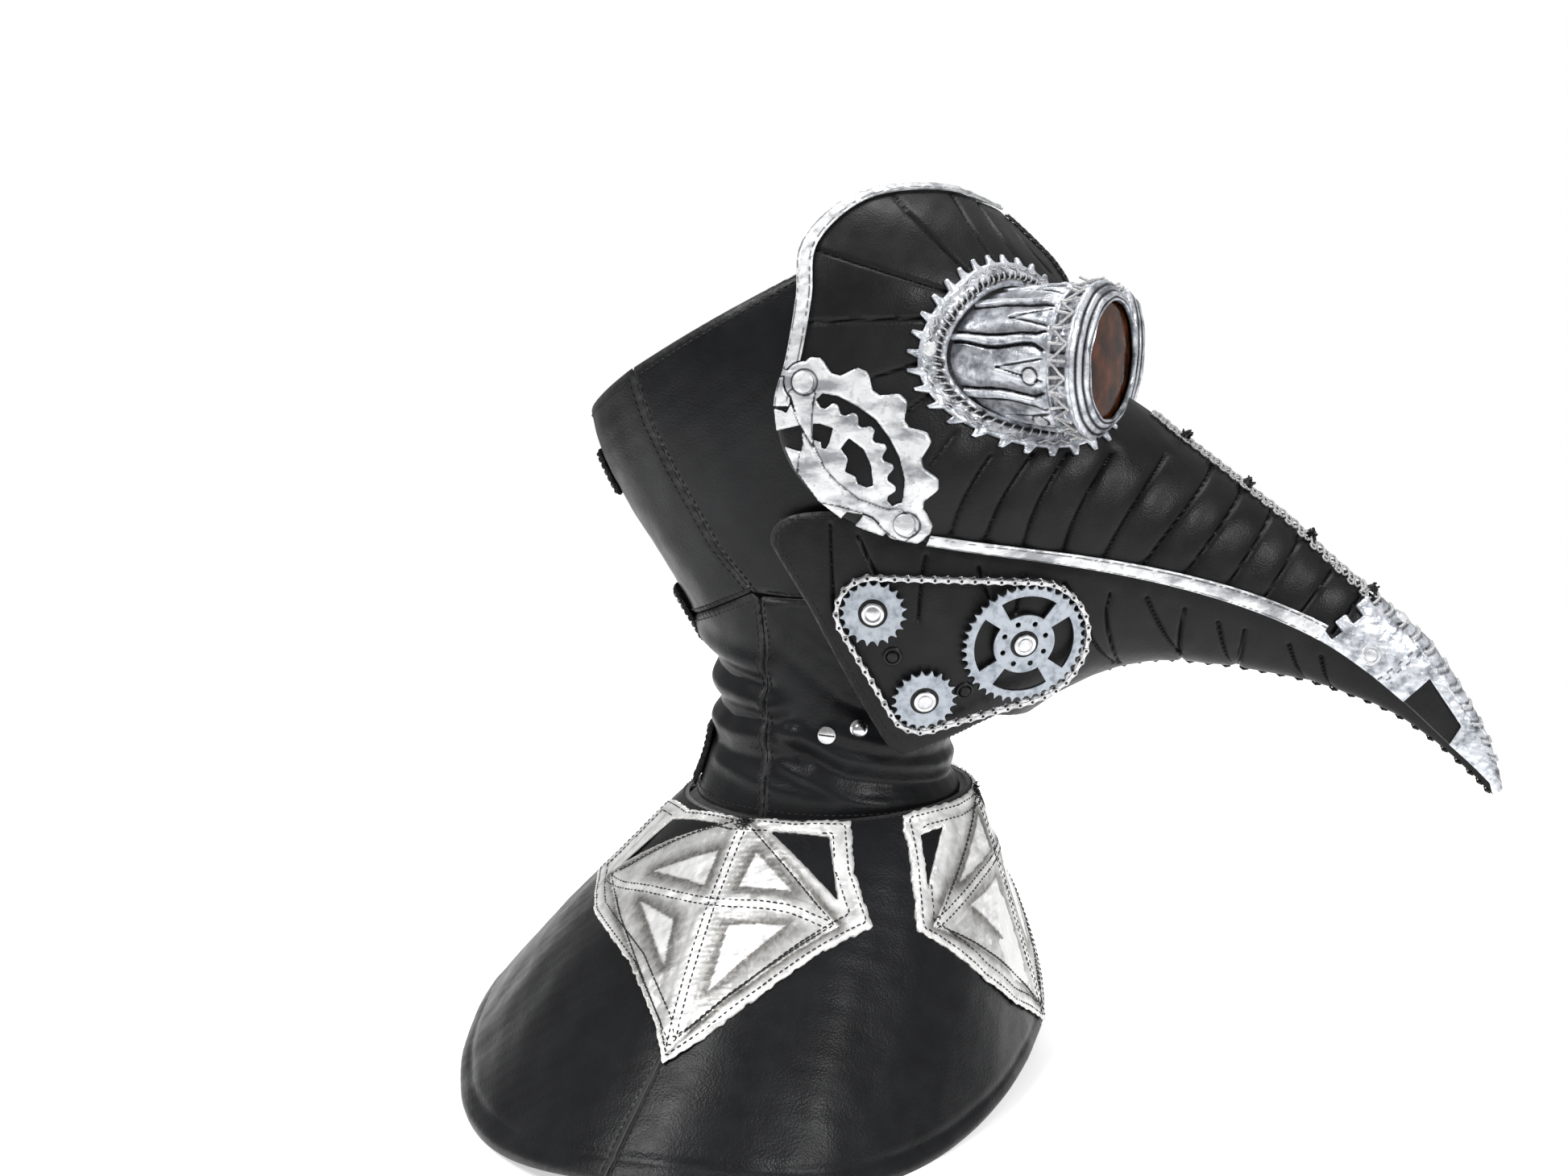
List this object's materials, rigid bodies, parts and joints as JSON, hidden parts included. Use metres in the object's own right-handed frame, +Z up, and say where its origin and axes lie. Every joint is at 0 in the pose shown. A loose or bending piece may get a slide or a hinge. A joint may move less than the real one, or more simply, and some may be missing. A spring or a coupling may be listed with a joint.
{
  "type": "plague doctor mask",
  "caption": "Full-head beaked leather costume mask with spiked goggles, a hinged lower beak with chain drives, a hood with back tabs and a shoulder collar.",
  "frame": {"origin": "centre of the wearer's head at ear height, in the mask's middle plane", "axes": "+Z up, the beak points along -Y, +X towards the wearer's left"},
  "size_m": [0.329, 0.4074, 0.3468],
  "materials": {
    "moulded_leather": "black, smooth, satin, pressed with pleat lines",
    "soft_leather": "black garment leather, fine grain, satin",
    "silver_painted_leather": "metallic silver paint with dark wash in the recesses",
    "aged_silver_leather": "metallic silver paint over black, worn and smoky",
    "silver_foil_leather": "bright foiled leather with airbrushed dark edges",
    "bright_steel": "nickel plated, satin",
    "amber_glass": "polished, tinted brown",
    "hook_tape": "matt black looped tape"
  },
  "bodies": {
    "mask": {"beak_strip_left": "silver_painted_leather", "beak_strip_right": "silver_painted_leather", "brow_strip_left": "silver_painted_leather", "brow_strip_right": "silver_painted_leather", "cheek_gear_left": "silver_painted_leather", "cheek_gear_right": "silver_painted_leather", "cheek_rivet_left": "bright_steel", "cheek_rivet_right": "bright_steel", "collar_back_panel_left": "soft_leather", "collar_back_panel_right": "soft_leather", "collar_front_panel_left": "soft_leather", "collar_front_panel_right": "soft_leather", "front_kite": "silver_foil_leather", "goggle_barrel_left": "aged_silver_leather", "goggle_barrel_right": "aged_silver_leather", "goggle_base_ring_left": "aged_silver_leather", "goggle_base_ring_right": "aged_silver_leather", "goggle_lens_left": "amber_glass", "goggle_lens_right": "amber_glass", "goggle_rim_left": "aged_silver_leather", "goggle_rim_right": "aged_silver_leather", "hood_back_panel_left": "soft_leather", "hood_back_panel_right": "soft_leather", "hood_side_panel_left": "soft_leather", "hood_side_panel_right": "soft_leather", "jaw_pivot_rivet_left": "bright_steel", "jaw_pivot_rivet_right": "bright_steel", "mask_shell_left": "moulded_leather", "mask_shell_right": "moulded_leather", "neck_back_panel_left": "soft_leather", "neck_back_panel_right": "soft_leather", "neck_ball_stud_left": "bright_steel", "neck_ball_stud_right": "bright_steel", "neck_front_panel": "soft_leather", "neck_screw_stud_left": "bright_steel", "neck_screw_stud_right": "bright_steel", "shoulder_kite_left": "silver_foil_leather", "shoulder_kite_right": "silver_foil_leather", "tip_armour_left": "silver_painted_leather", "tip_armour_right": "silver_painted_leather"},
    "jaw": {"jaw_shell_right": "moulded_leather", "jaw_shell_left": "moulded_leather", "upper_sprocket_axle_right": "bright_steel", "upper_sprocket_axle_left": "bright_steel", "lower_sprocket_axle_right": "bright_steel", "lower_sprocket_axle_left": "bright_steel", "chainring_axle_right": "bright_steel", "chainring_axle_left": "bright_steel", "drive_chain_right": "bright_steel", "drive_chain_left": "bright_steel"},
    "chainring_right": {"chainring_right": "bright_steel"},
    "upper_sprocket_right": {"upper_sprocket_right": "bright_steel"},
    "lower_sprocket_right": {"lower_sprocket_right": "bright_steel"},
    "chainring_left": {"chainring_left": "bright_steel"},
    "upper_sprocket_left": {"upper_sprocket_left": "bright_steel"},
    "lower_sprocket_left": {"lower_sprocket_left": "bright_steel"},
    "closure_tab_top": {"closure_tab_top": "hook_tape"},
    "closure_tab_middle": {"closure_tab_middle": "hook_tape"},
    "closure_tab_bottom": {"closure_tab_bottom": "hook_tape"}
  },
  "joints": [
    {"name": "jaw_hinge", "type": "hinge", "parent": "mask", "child": "jaw", "pos_m": [0, -0.0625, -0.0195], "axis": [1, 0, 0], "range_deg": [0, 10]},
    {"name": "chainring_spin_right", "type": "hinge", "parent": "jaw", "child": "chainring_right", "pos_m": [-0.04456, -0.102, -0.065], "axis": [-0.862, -0.4313, -0.2664], "continuous": true},
    {"name": "upper_sprocket_spin_right", "type": "hinge", "parent": "jaw", "child": "upper_sprocket_right", "pos_m": [-0.0665, -0.05, -0.0525], "axis": [-0.9778, -0.1789, -0.1093], "continuous": true},
    {"name": "lower_sprocket_spin_right", "type": "hinge", "parent": "jaw", "child": "lower_sprocket_right", "pos_m": [-0.05521, -0.067, -0.086], "axis": [-0.8917, -0.3536, -0.2827], "continuous": true},
    {"name": "chainring_spin_left", "type": "hinge", "parent": "jaw", "child": "chainring_left", "pos_m": [0.04456, -0.102, -0.065], "axis": [0.862, -0.4313, -0.2664], "continuous": true},
    {"name": "upper_sprocket_spin_left", "type": "hinge", "parent": "jaw", "child": "upper_sprocket_left", "pos_m": [0.0665, -0.05, -0.0525], "axis": [0.9778, -0.1789, -0.1093], "continuous": true},
    {"name": "lower_sprocket_spin_left", "type": "hinge", "parent": "jaw", "child": "lower_sprocket_left", "pos_m": [0.05521, -0.067, -0.086], "axis": [0.8917, -0.3536, -0.2827], "continuous": true},
    {"name": "closure_tab_top_flap", "type": "hinge", "parent": "mask", "child": "closure_tab_top", "pos_m": [0.01828, 0.06933, -0.00904], "axis": [-0.0543, -0.4265, -0.9028], "range_deg": [0, 80]},
    {"name": "closure_tab_middle_flap", "type": "hinge", "parent": "mask", "child": "closure_tab_middle", "pos_m": [0.01877, 0.03554, -0.06616], "axis": [-0.0799, -0.4825, -0.8723], "range_deg": [0, 80]},
    {"name": "closure_tab_bottom_flap", "type": "hinge", "parent": "mask", "child": "closure_tab_bottom", "pos_m": [0.0168, 0.0311, -0.1234], "axis": [0.0429, 0.2698, -0.962], "range_deg": [0, 80]}
  ],
  "couplings": [
    {"joint": "upper_sprocket_spin_right", "follows": "chainring_spin_right", "ratio": 2},
    {"joint": "lower_sprocket_spin_right", "follows": "chainring_spin_right", "ratio": 2},
    {"joint": "upper_sprocket_spin_left", "follows": "chainring_spin_left", "ratio": 2},
    {"joint": "lower_sprocket_spin_left", "follows": "chainring_spin_left", "ratio": 2}
  ]
}
